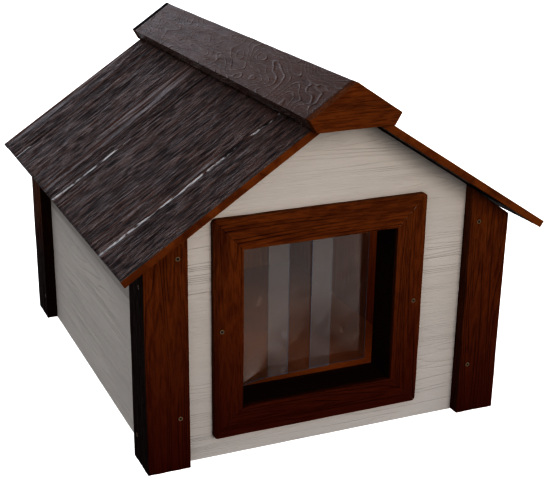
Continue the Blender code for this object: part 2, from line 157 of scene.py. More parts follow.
class Graph:
    """Short ways to add nodes to a tree."""

    def __init__(self, tree):
        self.tree = tree
        tree.nodes.clear()

    def link(self, source, socket):
        self.tree.links.new(source, socket)

    def put(self, socket, value):
        if hasattr(value, "is_output"):
            self.link(value, socket)
        else:
            socket.default_value = value

    def node(self, kind, prefix="ShaderNode", **settings):
        made = self.tree.nodes.new(prefix + kind)
        for key, value in settings.items():
            setattr(made, key, value)
        return made

    def math(self, operation, *values):
        made = self.node("Math", operation=operation)
        for socket, value in zip(made.inputs, values):
            self.put(socket, value)
        return made.outputs[0]

    def vector(self, operation, *values):
        made = self.node("VectorMath", operation=operation)
        for socket, value in zip(made.inputs, values):
            self.put(socket, value)
        return made.outputs[0]

    def separate(self, vector):
        made = self.node("SeparateXYZ")
        self.link(vector, made.inputs[0])
        return made.outputs

    def combine(self, x, y, z):
        made = self.node("CombineXYZ")
        for socket, value in zip(made.inputs, (x, y, z)):
            self.put(socket, value)
        return made.outputs[0]

    def noise(self, vector, scale=1.0, detail=2.0, roughness=0.5):
        made = self.node("TexNoise")
        self.link(vector, made.inputs["Vector"])
        made.inputs["Scale"].default_value = scale
        made.inputs["Detail"].default_value = detail
        made.inputs["Roughness"].default_value = roughness
        return made.outputs[0]

    def span(self, value, low, high, to_low=0.0, to_high=1.0, smooth=False):
        """value from low..high mapped to to_low..to_high, held at the ends."""
        made = self.node("MapRange", interpolation_type="SMOOTHSTEP" if smooth else "LINEAR")
        self.link(value, made.inputs["Value"])
        for name, number in (("From Min", low), ("From Max", high), ("To Min", to_low), ("To Max", to_high)):
            made.inputs[name].default_value = number
        return made.outputs[0]

    def ramp(self, value, stops):
        made = self.node("ValToRGB")
        elements = made.color_ramp.elements
        while len(elements) > 1:
            elements.remove(elements[-1])
        elements[0].position = stops[0][0]
        elements[0].color = (*stops[0][1], 1)
        for position, colour in stops[1:]:
            elements.new(position).color = (*colour, 1)
        self.link(value, made.inputs[0])
        return made.outputs[0]

    def mix(self, share, a, b):
        """Colour a towards colour b by share."""
        made = self.node("Mix", data_type="RGBA")
        self.put(made.inputs["Factor"], share)
        for socket, value in ((made.inputs[6], a), (made.inputs[7], b)):
            self.put(socket, value if hasattr(value, "is_output") else (*value, 1))
        return made.outputs[2]

    def attribute(self, name):
        return self.node("Attribute", attribute_name=name).outputs["Fac"]

    def bump(self, height, distance):
        """Normals for a height of 0 to 1 over distance metres."""
        made = self.node("Bump")
        made.inputs["Strength"].default_value = 1.0
        made.inputs["Distance"].default_value = distance
        self.link(height, made.inputs["Height"])
        return made.outputs[0]


def new_material(name):
    material = bpy.data.materials.new(name)
    material.use_nodes = True
    return material, Graph(material.node_tree)


def finish_material(g, colour, roughness, normal, **constants):
    """Joins a Principled shader to the output. Constants go straight on its sockets."""
    shader = g.node("BsdfPrincipled")
    g.put(shader.inputs["Base Color"], colour)
    g.put(shader.inputs["Roughness"], roughness)
    g.link(normal, shader.inputs["Normal"])
    for name, value in constants.items():
        shader.inputs[name.replace("_", " ")].default_value = value
    g.link(shader.outputs[0], g.node("OutputMaterial").inputs["Surface"])


def along_grain(g, grain, turn=0.0):
    """Object coordinates with the grain along X, after turning about Y by turn, which also flattens them."""
    at = g.node("TexCoord").outputs["Object"]
    if turn:
        rotate = g.node("VectorRotate", rotation_type="Y_AXIS")
        g.link(at, rotate.inputs["Vector"])
        rotate.inputs["Angle"].default_value = turn
        at = rotate.outputs[0]
    x, y, z = g.separate(at)
    if turn:
        z = g.math("MULTIPLY", z, 0.15)
    order = {"x": (x, y, z), "y": (y, x, z), "z": (z, x, y)}[grain]
    return g.combine(*order)


def stretched(g, at, along, across):
    return g.vector("MULTIPLY", at, (along, across, across))


# ---------------------------------------------------------------- materials

SHADE_COLOUR = (0.010, 0.0025, 0.0012)  # painted shade: the colour where the attribute shade is 1
PALE_MARK_COLOUR = (0.48, 0.46, 0.45)  # the pale colour where the attribute for pale streaks and marks is high
GROUND_SHADE_HEIGHT = 0.5  # metres over which painted shade turns the colour towards low, darker towards the ground

def painted_wood(name, colour, deep, pale, grain, turn=0.0, coarse=1.0, relief=0.0006, rough=(0.45, 0.65),
                 specular=0.3, wear=0.1, stain_and_pit_shade=0.3, hollow_shade=0.8, figure=(3.0, 22, 10), line_tone=0.4,
                 line_depth=0.7, fibres=(26, 250), calm=0.0, foot=0.0, low=(0, 0, 0)):
    """Paint over embossed wood grain: colour with deep in the pores and pale on ridges and worn edges. The sunken
    relief is painted towards deep as painted shade, the lows of the bumped grain partly as stain and partly as
    painted shade, the colour turns to low near the ground as painted shade, and the attribute shade paints shade
    near black. figure is the noise along and across the grain whose contours are the growth rings, and their
    count. calm is how much smoother the smooth bands are, and foot how far the colour is painted towards low at
    the ground, a painted shade."""
    material, g = new_material(name)
    at = along_grain(g, grain, turn)
    warp = g.noise(stretched(g, at, 3.0, 9.0), detail=2)
    bent = g.vector("ADD", at, g.combine(0.0, g.math("MULTIPLY", warp, 0.018), 0.0))
    fibre = g.noise(stretched(g, bent, fibres[0] * coarse, fibres[1] * coarse), detail=3, roughness=0.6)
    streak = g.noise(stretched(g, bent, 6 * coarse, 95 * coarse), detail=2)
    broad = g.noise(stretched(g, at, 2.5, 9.0), detail=3)
    pore = g.noise(stretched(g, bent, 60, 520), detail=1)
    rings = g.noise(stretched(g, bent, figure[0], figure[1]), detail=1)
    saw = g.math("FRACT", g.math("MULTIPLY", rings, figure[2]))
    line = g.span(g.math("ABSOLUTE", g.math("SUBTRACT", saw, 0.5)), 0.0, 0.14, 1.0, 0.0, smooth=True)
    line = g.math("MULTIPLY", line, g.span(broad, 0.40, 0.60, 0.25, 1.0))
    height = g.math("ADD", g.math("MULTIPLY", fibre, 0.8), g.math("MULTIPLY", streak, 0.4))
    height = g.math("ADD", height, g.math("MULTIPLY", pore, 0.15))
    if calm:
        smooth_band = g.span(g.noise(stretched(g, bent, 0.9, 13), detail=1), 0.57, 0.63, 0.0, calm, smooth=True)
        height = g.math("MULTIPLY", height, g.math("SUBTRACT", 1.0, smooth_band))
    height = g.math("SUBTRACT", height, g.math("MULTIPLY", line, line_depth))
    normal = g.bump(height, relief)

    # pits: the lows of the bumped grain, painted towards deep, partly stain and partly painted shade
    pits = g.math("MULTIPLY", g.span(fibre, 0.54, 0.40), stain_and_pit_shade)
    if calm:
        pits = g.math("MULTIPLY", pits, g.math("SUBTRACT", 1.0, smooth_band))
    tone = g.mix(pits, colour, deep)
    tone = g.mix(g.math("MULTIPLY", g.span(streak, 0.55, 0.75), 0.5 * stain_and_pit_shade), tone, pale)
    tone = g.mix(g.math("MULTIPLY", line, line_tone), tone, deep)
    # painted shade: the sunken relief, from the attribute cavity, painted towards deep
    tone = g.mix(g.math("MULTIPLY", g.span(g.attribute("cavity"), 0.35, 0.85), hollow_shade), tone, deep)
    edge = g.math("MULTIPLY", g.attribute("edge"), g.span(g.noise(at, 90, 3), 0.45, 0.65))
    tone = g.mix(g.math("MULTIPLY", edge, wear), tone, pale)
    light = g.span(broad, 0.3, 0.7, 0.96, 1.04)
    # painted shade: darker towards the ground
    if foot:
        height_of = g.separate(g.node("TexCoord").outputs["Object"])[2]
        tone = g.mix(g.span(height_of, 0.0, GROUND_SHADE_HEIGHT, foot, 0.0), tone, low)
    tone = g.vector("MULTIPLY", tone, g.combine(light, light, light))
    # painted shade: near black where the attribute shade is set
    tone = g.mix(g.attribute("shade"), tone, SHADE_COLOUR)
    # pale streaks and marks where that attribute is high, broken up by noise
    crumbs = g.math("SUBTRACT", g.attribute("bare"), g.noise(stretched(g, at, 130, 300), detail=2))
    tone = g.mix(g.span(crumbs, -0.05, 0.10), tone, PALE_MARK_COLOUR)
    roughness = g.span(g.math("ADD", streak, g.math("MULTIPLY", broad, 0.5)), 0.45, 1.0, *rough)
    roughness = g.math("ADD", roughness, g.math("MULTIPLY", pits, 0.55))
    finish_material(g, tone, roughness, normal, Specular_IOR_Level=specular)
    return material


def raw_wood(name, colour, dark, grain):
    """Bare plywood or softwood with early and late wood bands."""
    material, g = new_material(name)
    at = along_grain(g, grain)
    warp = g.noise(stretched(g, at, 2.0, 6.0), detail=2)
    bent = g.vector("ADD", at, g.combine(0.0, g.math("MULTIPLY", warp, 0.05), 0.0))
    rings = g.noise(stretched(g, bent, 1.6, 42), detail=1.5)
    fibre = g.noise(stretched(g, bent, 20, 480), detail=2)
    bands = g.span(g.math("FRACT", g.math("MULTIPLY", rings, 9.0)), 0.35, 0.95, smooth=True)
    tone = g.mix(g.math("MULTIPLY", bands, 0.5), colour, dark)
    tone = g.mix(g.math("MULTIPLY", g.span(fibre, 0.55, 0.75), 0.5), tone, dark)
    patch = g.span(g.noise(at, 5, 3), 0.3, 0.7, 0.85, 1.12)
    tone = g.vector("MULTIPLY", tone, g.combine(patch, patch, patch))
    height = g.math("ADD", g.math("MULTIPLY", fibre, 0.5), g.math("MULTIPLY", bands, 0.3))
    finish_material(g, tone, g.span(fibre, 0.3, 0.7, 0.67, 0.85), g.bump(height, 0.0004), Specular_IOR_Level=0.06)
    return material


def foam(name):
    """Expanded polystyrene: packed beads a few millimetres across."""
    material, g = new_material(name)
    at = g.node("TexCoord").outputs["Object"]
    cells = g.node("TexVoronoi")
    g.link(at, cells.inputs["Vector"])
    cells.inputs["Scale"].default_value = 260
    bead = g.span(cells.outputs["Distance"], 0.2, 0.7)
    tone = g.mix(bead, (0.80, 0.83, 0.86), (0.58, 0.62, 0.66))
    finish_material(g, tone, g.span(bead, 0, 1, 0.75, 0.95), g.bump(bead, -0.0004), Specular_IOR_Level=0.3)
    return material


def strip_plastic(name):
    """Clear flexible PVC: mostly see-through, with scuffs, and tan smears that are partly painted glints of
    reflected light, hazier where two strips overlap, and bluish and denser at its cut edges."""
    material, g = new_material(name)
    at = g.node("TexCoord").outputs["UV"]
    cloud = g.noise(at, 7, 3)
    scuff = g.noise(g.vector("MULTIPLY", at, (60, 9, 1)), 1.0, 3)
    fog = g.math("ADD", g.span(cloud, 0.3, 0.75, 0.02, 0.05), g.span(scuff, 0.60, 0.75, 0.0, 0.04))
    edge = g.attribute("edge")
    # tan blotches: partly smears, partly painted glints of reflected light
    smear_and_glint = g.span(g.noise(g.vector("MULTIPLY", at, (9, 5, 1)), 1.0, 4), 0.60, 0.72, smooth=True)
    fog = g.math("ADD", fog, g.math("MULTIPLY", smear_and_glint, 0.07))
    double = g.attribute("double")
    fog = g.math("ADD", fog, g.math("MULTIPLY", double, 0.028))
    fog = g.math("MAXIMUM", fog, g.math("MULTIPLY", edge, 0.6))
    clear = g.node("BsdfTransparent")
    clear.inputs[0].default_value = (0.85, 0.83, 0.805, 1)
    gloss = g.node("BsdfGlossy")
    gloss.inputs["Color"].default_value = (1, 1, 1, 1)
    g.link(g.span(cloud, 0.3, 0.7, 0.04, 0.11), gloss.inputs["Roughness"])
    wave = g.noise(at, 3.0, 1)
    g.link(g.bump(wave, 0.0012), gloss.inputs["Normal"])
    fresnel = g.node("Fresnel")
    fresnel.inputs["IOR"].default_value = 1.6
    film = g.node("MixShader")
    g.link(fresnel.outputs[0], film.inputs[0])
    g.link(clear.outputs[0], film.inputs[1])
    g.link(gloss.outputs[0], film.inputs[2])
    body = g.node("BsdfPrincipled")
    body.inputs["Roughness"].default_value = 0.35
    film_colour = g.mix(smear_and_glint, (0.27, 0.26, 0.25), (0.60, 0.47, 0.36))
    film_colour = g.mix(double, film_colour, (0.56, 0.55, 0.57))
    g.link(g.mix(edge, film_colour, (0.08, 0.16, 0.29)), body.inputs["Base Color"])
    both = g.node("MixShader")
    g.link(fog, both.inputs[0])
    g.link(film.outputs[0], both.inputs[1])
    g.link(body.outputs[0], both.inputs[2])
    g.link(both.outputs[0], g.node("OutputMaterial").inputs["Surface"])
    return material


def screw_metal(name):
    """Browned steel with a brighter rubbed rim, and a cross recess painted near black as painted shade."""
    material, g = new_material(name)
    at = g.node("TexCoord").outputs["Object"]
    spots = g.noise(at, 1800, 3)
    tone = g.mix(g.span(spots, 0.35, 0.65), (0.09, 0.07, 0.055), (0.20, 0.16, 0.12))
    tone = g.mix(g.attribute("edge"), tone, (0.26, 0.17, 0.085))
    # painted shade: the cross recess painted near black
    tone = g.mix(g.attribute("cavity"), tone, (0.008, 0.007, 0.007))
    finish_material(g, tone, g.span(spots, 0.3, 0.7, 0.35, 0.55), g.bump(spots, 0.0001), Metallic=0.35)
    return material


# ---------------------------------------------------------------- solid boards


def lattice_noise(points, seed):
    """Smooth noise from -1 to 1 at points given in units of its cells."""
    cell = np.floor(points)
    part = points - cell
    part = part * part * (3 - 2 * part)
    cell = cell.astype(np.int64)
    total = np.zeros(len(points))
    for corner in range(8):
        bits = np.array([corner & 1, corner >> 1 & 1, corner >> 2 & 1])
        at = (cell + bits).astype(np.uint64)
        mixed = at[:, 0] * np.uint64(73856093) ^ at[:, 1] * np.uint64(19349663) ^ at[:, 2] * np.uint64(83492791)
        mixed = (mixed + np.uint64(seed * 2654435761)) & np.uint64(0xFFFFFFFF)
        mixed = (mixed ^ (mixed >> np.uint64(15))) * np.uint64(2246822519) & np.uint64(0xFFFFFFFF)
        mixed = (mixed ^ (mixed >> np.uint64(13))) * np.uint64(3266489917) & np.uint64(0xFFFFFFFF)
        value = (mixed ^ (mixed >> np.uint64(16))).astype(float) / 0xFFFFFFFF * 2 - 1
        weight = np.prod(np.where(bits, part, 1 - part), axis=1)
        total += value * weight
    return total


def grain_relief(points, along, depth, coarse=1.0, seed=1):
    """How far the embossed grain sinks below the surface, from 0 to depth, at points in metres."""
    along = np.array(along, float)
    a = points @ along
    rest = points - np.outer(a, along)
    bend = lattice_noise(np.column_stack([a * 3.0, rest[:, 1] * 8, rest[:, 2] * 8 + rest[:, 0] * 8]), seed + 1)
    rest = rest + (0.006 * bend)[:, None]

    def layer(per_along, per_across, number):
        cells = np.outer(a * per_along, along) + rest * per_across
        return lattice_noise(cells + 17.3 * number, seed + number)

    fibre = layer(30 * coarse, 190 * coarse, 2)
    band = layer(5 * coarse, 62 * coarse, 3)
    crack = 1 - np.abs(layer(6 * coarse, 120 * coarse, 4))
    crack = np.clip((crack - 0.80) / 0.20, 0, 1) * np.clip(0.55 + layer(2.0, 14, 5) * 1.6, 0, 1)
    sink = 0.30 - 0.30 * fibre + 0.22 - 0.22 * band + 0.55 * crack
    return np.clip(sink, 0, 1.3) / 1.3 * depth


def lines(length, step, corner, extra=()):
    """Grid lines from 0 to length, closer together at the rounded corners and exactly at extra."""
    ends = [0, 0.3 * corner, corner]
    fixed = sorted({*ends, *(length - e for e in ends), *extra})
    made = [fixed[0]]
    for low, high in zip(fixed, fixed[1:]):
        count = max(1, round((high - low) / step))
        made += [low + (high - low) * k / count for k in range(1, count + 1)]
    return np.array(made)


def skin(u, v, w):
    """Vertices and faces of the outside of a block with these grid lines."""
    sizes = (len(u), len(v), len(w))
    faces = []
    for axis in range(3):
        a, b = (axis + 1) % 3, (axis + 2) % 3
        first, second = np.meshgrid(np.arange(sizes[a] - 1), np.arange(sizes[b] - 1), indexing="ij")
        for side in (0, 1):
            corners = [(0, 0), (1, 0), (1, 1), (0, 1)][:: 1 if side else -1]
            columns = []
            for da, db in corners:
                index = [None] * 3
                index[axis] = np.full(first.size, side * (sizes[axis] - 1))
                index[a] = first.ravel() + da
                index[b] = second.ravel() + db
                columns.append((index[0] * sizes[1] + index[1]) * sizes[2] + index[2])
            faces.append(np.column_stack(columns))
    faces = np.concatenate(faces)
    used, inverse = np.unique(faces, return_inverse=True)
    i, rest = np.divmod(used, sizes[1] * sizes[2])
    j, k = np.divmod(rest, sizes[2])
    return np.column_stack([u[i], v[j], w[k]]), inverse.reshape(-1, 4)


def open_doorway(points, faces, window):
    """Cuts a hole along the third axis through a block, window being (u0, u1, v0, v1) on its grid lines."""
    u0, u1, v0, v1 = window
    middle = points[faces].mean(axis=1)
    w = points[:, 2]
    flat = np.ptp(w[faces], axis=1) < 1e-7
    inside = (middle[:, 0] > u0) & (middle[:, 0] < u1) & (middle[:, 1] > v0) & (middle[:, 1] < v1) & flat
    gone, kept = faces[inside], faces[~inside]
    front = gone[w[gone[:, 0]] < w.max() / 2]
    edges = {}
    for face in front:
        for a, b in zip(face, np.roll(face, -1)):
            if (b, a) in edges:
                del edges[b, a]
            else:
                edges[a, b] = True
    opposite = {}
    for index, (pu, pv) in enumerate(np.round(points[:, :2], 6)):
        if w[index] > w.max() - 1e-6:
            opposite[pu, pv] = index
    partner = {i: opposite[tuple(np.round(points[i, :2], 6))] for edge in edges for i in edge}
    walls = np.array([(a, b, partner[b], partner[a]) for a, b in edges])
    return np.concatenate([kept, walls])


def make_mesh(name, points, faces, material, attributes):
    mesh = bpy.data.meshes.new(name)
    mesh.from_pydata(points.tolist(), [], faces.tolist())
    mesh.materials.append(material)
    mesh.polygons.foreach_set("use_smooth", [True] * len(mesh.polygons))
    for key, values in attributes.items():
        mesh.attributes.new(key, "FLOAT", "POINT").data.foreach_set("value", np.asarray(values, np.float32))
    obj = bpy.data.objects.new(name, mesh)
    bpy.context.scene.collection.objects.link(obj)
    return obj


def board(name, size, steps, shape, material, along, depth, coarse=1.0, corner=0.0015, extra=((), (), ()),
          dent=None, marks=None, window=None, butt=False, quiet=1.0, rim=None, seed=1):
    """A solid board. size is its block, shape puts block points in place, and the grain sinks into every face.
    dent(block points, placed points, normals) gives more depth, such as grooves, and marks(block points) more
    attributes. butt leaves the two ends square, for boards that meet in a joint. quiet is the share of the relief
    that is left on the thin edges, the faces across the third axis, and rim their material."""
    corners = np.array([0.0 if butt else corner, corner, corner])
    grid = [lines(size[k], steps[k], corners[k], extra[k]) for k in range(3)]
    points, faces = skin(*grid)
    if window:
        faces = open_doorway(points, faces, window)
        used, inverse = np.unique(faces, return_inverse=True)
        points, faces = points[used], inverse.reshape(-1, 4)
    size = np.array(size)
    to_faces = np.minimum(points, size - points)
    to_rim = to_faces[:, 2].copy()
    if butt:
        to_faces[:, 0] = 1
    to_faces = np.sort(to_faces, axis=1)
    inner = np.clip(points, corners, size - corners)
    normals = points - inner
    normals /= np.maximum(np.linalg.norm(normals, axis=1), 1e-9)[:, None]
    rounded = inner + normals * corner
    if window:
        wall = to_faces[:, 0] > 1e-6
        rounded[wall], normals[wall] = points[wall], 0
    placed = shape(rounded)
    facing = (placed - shape(rounded - normals * 0.0001)) / 0.0001
    sink = grain_relief(placed, along, depth, coarse, seed)
    cavity = sink / depth
    sink *= np.clip(to_rim / 0.005, quiet, 1)
    if dent is not None:
        sink = sink + dent(points, placed, facing)
    placed = shape(rounded - normals * sink[:, None])
    attributes = {"cavity": cavity, "edge": np.clip(1 - to_faces[:, 1] / 0.005, 0, 1)}
    if marks is not None:
        attributes.update(marks(points))
    obj = make_mesh(name, placed, faces, material, attributes)
    if butt:
        at_end = np.ptp(points[faces][:, :, 0], axis=1) < 1e-7
        obj.data.polygons.foreach_set("use_smooth", ~at_end)
    if rim:
        obj.data.materials.append(rim)
        outer = to_rim[faces].max(axis=1) < corner + 1e-6
        obj.data.polygons.foreach_set("material_index", outer.astype(np.int32))
    flip_if_inside_out(obj)
    return obj


def quad_shape(corners, y0):
    """Places block points on a four-cornered outline in XZ: the first axis goes along corners 0 to 1, the second
    along 0 to 3, and the third is depth, from y0."""
    c = [np.array(p, float) for p in corners]
    length = np.linalg.norm(c[1] - c[0])
    height = np.linalg.norm(c[3] - c[0])

    def place(points):
        s, t = (points[:, :1] / length), (points[:, 1:2] / height)
        xz = c[0] * (1 - s) * (1 - t) + c[1] * s * (1 - t) + c[2] * s * t + c[3] * (1 - s) * t
        return np.column_stack([xz[:, 0], y0 + points[:, 2], xz[:, 1]])

    return place, (length, height)


# ---------------------------------------------------------------- pieces


# Sizes that the CAD has too, in metres
PITCH = math.radians(33.07)
TAN = math.tan(PITCH)
ROOF_THICK = 0.0150
ROOF_FRONT = -0.0439  # depth of the roof's front edge, from the house's front face
ROOF_GROOVES = (0.0970, 0.4560, 0.8150)  # depths
CAP_EDGE_Z = 0.6770
CAP_FOOT_HALF = 0.0775
SIDING_GROOVE_Z = 0.3473
SIDING_GROOVE_DEPTH = 0.0022

# Clearances that keep neighbours from sharing a face
RIDGE_GAP = 0.00015  # from the middle to each roof panel
RIDGE_RISE = 0.0001  # the slopes meet this far above the boxes of the panels, because of that gap
WALL_GAP = 0.0005  # between the siding and the roof

SCREW_HOLE_RADIUS, SCREW_HOLE_DEPTH, SCREW_HOLE_RIM = 0.0051, 0.0012, 0.0008
STRIPS = ("left", "middle", "right")
UV_PER_METRE = 4


def replace(obj, node, body):
    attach(obj, body)
    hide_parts(node)


def under_roof(x):
    """Height of the underside of the roof at x, from the roof panel's own box."""
    low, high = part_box("roof_panel_right")
    ridge = high.z + RIDGE_RISE
    return ridge - ROOF_THICK / math.cos(PITCH) - TAN * abs(x)


def middle_of(node):
    low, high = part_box(node)
    return (low + high) / 2


def outward_of(node):
    """The way a screw's head faces: along its longest side, away from the house."""
    low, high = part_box(node)
    axis = max(range(3), key=lambda k: high[k] - low[k])
    way = Vector((0, 0, 0))
    way[axis] = 1 if (low + high)[axis] > 0 else -1
    return way


def screw_dents(nodes):
    """A dent() for a board: the countersink round each of these screws, on the face its head is in."""
    def dent(points, placed, normals):
        sink = np.zeros(len(points))
        for node in nodes:
            way = np.array(outward_of(node))
            off = placed - np.array(middle_of(node))
            off -= np.outer(off @ way, way)
            far = np.linalg.norm(off, axis=1)
            inside = np.clip((SCREW_HOLE_RADIUS + SCREW_HOLE_RIM - far) / SCREW_HOLE_RIM, 0, 1)
            sink += SCREW_HOLE_DEPTH * inside * (normals @ way > 0.9)
        return sink

    return dent


def lines_round(centres, length):
    """Extra grid lines across a screw's countersink."""
    values = sorted(c + d for c in centres for d in (-0.0060, -0.0050, -0.0025, 0, 0.0025, 0.0050, 0.0060))
    kept = []
    for value in values:
        if 0.004 < value < length - 0.004 and (not kept or value - kept[-1] > 0.0008):
            kept.append(value)
    return kept


def make_posts(material):
    for end in ("front", "back"):
        for side, sign in (("left", -1), ("right", 1)):
            node = f"post_{end}_{side}"
            low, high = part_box(node)
            inner, outer = sorted((abs(low.x), abs(high.x)))
            tall, short = under_roof(inner) - 0.0020, under_roof(outer) - 0.0065
            corners = [(sign * outer, 0), (sign * inner, 0), (sign * inner, tall), (sign * outer, short)]
            place, (width, height) = quad_shape(corners, low.y)
            faced = [f"screw_{end}_{side}_{level}" for level in ("low", "high")]
            sided = [f"screw_side_{end}_{side}_{level}" for level in ("low", "high")]
            in_front, beside = [middle_of(n) for n in faced], [middle_of(n) for n in sided]
            columns = [outer - abs(c.x) for c in in_front]
            rows = [c.z * height / (short + (tall - short) * (outer - abs(c.x)) / width) for c in in_front]
            rows += [c.z for c in beside]
            depths = [c.y - low.y for c in beside]

            def marks(points, width=width, height=height, long=high.y - low.y, lit=end == "back"):
                """Painted shade: the outer side of a left post is painted nearly black, on the back one mostly low
                down, and that post's front face is painted dark too.
                """
                side_face = np.clip(1 - points[:, 0] / 0.0012, 0, 1)
                inner_face = np.clip(1 - points[:, 2] / 0.0012, 0, 1) if lit else 0
                top = np.clip((points[:, 1] / height - 0.35) / 0.3, 0, 1) if lit else 0
                return {"shade": np.maximum(side_face * (1 - 0.75 * top), 0.8 * inner_face) * 0.9}

            obj = board(
                node.replace("post", "corner_post"), (width, height, high.y - low.y), (0.0024, 0.009, 0.0024),
                place, material, (0, 0, 1), 0.0016, coarse=0.8, corner=0.0009,
                seed=11 + 2 * sign + (end == "back"),
                extra=(lines_round(columns, width), lines_round(rows, height),
                       lines_round(depths, high.y - low.y)),
                dent=screw_dents(faced + sided), marks=marks if sign < 0 else None,
            )
            replace(obj, node, "house")


def flip_if_inside_out(obj):
    """Turns the faces over where the block was placed mirrored."""
    mesh = obj.data
    mesh.calc_loop_triangles()
    co = np.array([v.co for v in mesh.vertices])
    t = np.array([t.vertices for t in mesh.loop_triangles])
    volume = np.einsum("ij,ij->i", co[t[:, 0]], np.cross(co[t[:, 1]], co[t[:, 2]])).sum()
    if volume < 0:
        mesh.flip_normals()


def make_siding(front_material, side_material):
    wall_level = 0.440  # the gable's slope starts above this in the block that place() bends
    lip = 0.0003  # from the doorway's own boards to the hole for them
    for node, seed in (("siding_front", 21), ("siding_back", 22)):
        low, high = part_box(node)
        half, shoulder, level = high.x, under_roof(high.x) - WALL_GAP, wall_level
        apex = under_roof(0) - WALL_GAP
        front = node == "siding_front"

        def place(points, half=half, low=low, level=level, apex=apex, shoulder=shoulder):
            x = points[:, 0] - half
            top = apex - (apex - shoulder) * np.abs(x) / half
            share = np.clip((points[:, 1] - level) / (apex - level), 0, 1)
            z = np.where(points[:, 1] > level, level + share * (top - level), points[:, 1])
            return np.column_stack([x, low.y + points[:, 2], z])

        window = None
        columns, rows = [half], [level]
        rows += [SIDING_GROOVE_Z + d for d in (-0.0022, -0.0015, 0, 0.0015, 0.0022)]
        if front:
            sill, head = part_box("doorway_sill"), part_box("doorway_head")
            window = (sill[0].x - lip + half, sill[1].x + lip + half, sill[0].z - lip, head[1].z + lip)
            columns += window[:2]
            rows += window[2:]
        outward = -1 if front else 1

        def dent(points, placed, normals, outward=outward):
            facing = np.clip(normals[:, 1] * outward, 0, 1)
            across = np.abs(placed[:, 2] - SIDING_GROOVE_Z)
            return SIDING_GROOVE_DEPTH * np.clip((0.0020 - across) / 0.0006, 0, 1) * facing

        obj = board(
            node.replace("siding", "embossed_siding"), (2 * half, apex, high.y - low.y), (0.0055, 0.0024, 0.006),
            place, front_material, (1, 0, 0), 0.0007, corner=0.0006, extra=(columns, rows, ()), dent=dent,
            window=window, seed=seed,
        )
        replace(obj, node, "house")

    for side, sign in (("left", -1), ("right", 1)):
        node = f"siding_{side}"
        low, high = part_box(node)
        inner, outer = sorted((abs(low.x), abs(high.x)))
        corners = [(sign * outer, 0), (sign * inner, 0), (sign * inner, under_roof(inner) - WALL_GAP),
                   (sign * outer, under_roof(outer) - WALL_GAP)]
        place, (width, height) = quad_shape(corners, low.y)
        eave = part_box("roof_panel_left")[0]
        band = eave.z - 1.5 * (-eave.x - outer) + 0.002

        def marks(points, band=band):
            """A darker band painted under the eave, in place of a shadow that these soft lights do not throw."""
            return {"shade": 0.24 * np.clip((points[:, 1] - band) / 0.005 + 0.5, 0, 1)}

        obj = board(
            node.replace("siding", "embossed_siding"), (width, under_roof(outer) - WALL_GAP, high.y - low.y),
            (0.006, 0.0026, 0.008), place, side_material, (0, 1, 0), 0.0009, corner=0.0006, marks=marks,
            seed=31 + sign,
        )
        replace(obj, node, "house")


def make_roof(left_materials, right_materials, cap_material):
    at = [depth - ROOF_FRONT for depth in ROOF_GROOVES]
    for side, sign, (material, rim) in (("left", -1, left_materials), ("right", 1, right_materials)):
        node = f"roof_panel_{side}"
        low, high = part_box(node)
        ridge, gap, thick = high.z + RIDGE_RISE, RIDGE_GAP, ROOF_THICK
        eave = max(abs(low.x), abs(high.x))
        outline = [(sign * gap, ridge - TAN * gap), (sign * eave, ridge - TAN * eave),
                   (sign * (eave - thick * math.sin(PITCH)), ridge - TAN * eave - thick * math.cos(PITCH)),
                   (sign * gap, ridge - thick / math.cos(PITCH) - TAN * gap)]
        place, (length, height) = quad_shape(outline, low.y)
        rows = [a + d for a in at for d in (-0.0036, -0.0026, -0.0012, 0.0012, 0.0026, 0.0036)]

        def dent(points, placed, normals):
            facing = np.clip(normals[:, 2], 0, 1)
            across = np.min([np.abs(points[:, 2] - a) for a in at], axis=0)
            return 0.0024 * np.clip((0.0036 - across) / 0.0012, 0, 1) * facing

        def marks(points, length=length):
            """Pale streaks along the lips of the grooves, from the eave upwards."""
            bare = np.zeros(len(points))
            from_eave = 1 - points[:, 0] / length
            for a, reach, beyond in zip(at, (0.62, 0.42, 0.10), (0.42, 0.32, 0.25)):
                across = np.clip(2.7 - np.abs(points[:, 2] - a - 0.0018) / 0.0018, 0, 1)
                envelope = np.maximum(beyond, np.clip(1.0 - 0.55 * from_eave / reach, 0, 0.60))
                bare = np.maximum(bare, across * envelope)
            return {"bare": bare * np.clip(1 - points[:, 1] / 0.0012, 0, 1)}

        slope = (sign * math.cos(PITCH), 0, -math.sin(PITCH))
        obj = board(
            node.replace("roof_panel", "grooved_roof"), (length, height, high.y - low.y), (0.008, 0.006, 0.0026),
            place, material, slope, 0.0056, coarse=0.75, corner=0.0014, extra=((), (), rows), dent=dent,
            marks=marks, quiet=0.10, rim=rim, seed=41 + sign,
        )
        replace(obj, node, "roof")

        node = f"ridge_cap_{side}"
        low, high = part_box(node)
        foot, edge = CAP_FOOT_HALF, max(abs(low.x), abs(high.x))
        outline = [(sign * gap, high.z), (sign * edge, CAP_EDGE_Z),
                   (sign * foot, ridge - TAN * foot + 0.0003), (sign * gap, ridge + 0.0003)]
        place, (length, height) = quad_shape(outline, low.y)
        obj = board(
            node.replace("ridge_cap", "cap_board"), (length, height, high.y - low.y), (0.0026, 0.006, 0.008),
            place, cap_material, (0, 1, 0), 0.0016, coarse=0.7, corner=0.0016, quiet=0.3,
            seed=51 + sign,
        )
        replace(obj, node, "roof")


